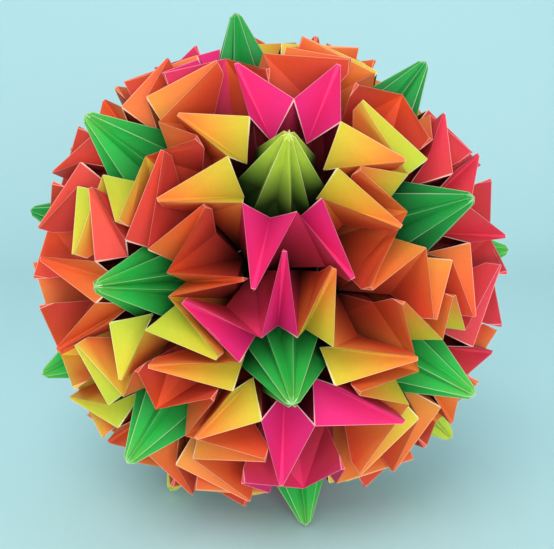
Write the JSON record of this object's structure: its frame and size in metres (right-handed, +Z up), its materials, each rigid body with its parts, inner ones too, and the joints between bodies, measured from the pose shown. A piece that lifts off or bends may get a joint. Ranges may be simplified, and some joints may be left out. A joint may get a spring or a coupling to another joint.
{
  "type": "kusudama paper ball",
  "caption": "Ball of folded gradient-paper flowers, each with a pointed green bud and a star of folded troughs in yellow, orange, red and pink.",
  "frame": {"origin": "on the table, at the middle of the ball's outline seen from above", "axes": "+Z up, standing on three bud tips; -Y is the side that the picture shows"},
  "size_m": [0.1524, 0.1488, 0.148],
  "materials": {
    "gradient_paper": "matte"
  },
  "bodies": {
    "root": {"flower_01": "gradient_paper", "flower_02": "gradient_paper", "flower_03": "gradient_paper", "flower_04": "gradient_paper", "flower_05": "gradient_paper", "flower_06": "gradient_paper", "flower_07": "gradient_paper", "flower_08": "gradient_paper", "flower_09": "gradient_paper", "flower_10": "gradient_paper", "flower_11": "gradient_paper", "flower_12": "gradient_paper", "flower_13": "gradient_paper", "flower_14": "gradient_paper", "flower_15": "gradient_paper", "flower_16": "gradient_paper", "flower_17": "gradient_paper", "flower_18": "gradient_paper", "flower_19": "gradient_paper", "flower_20": "gradient_paper", "flower_21": "gradient_paper", "flower_22": "gradient_paper", "flower_23": "gradient_paper", "flower_24": "gradient_paper"}
  },
  "joints": []
}
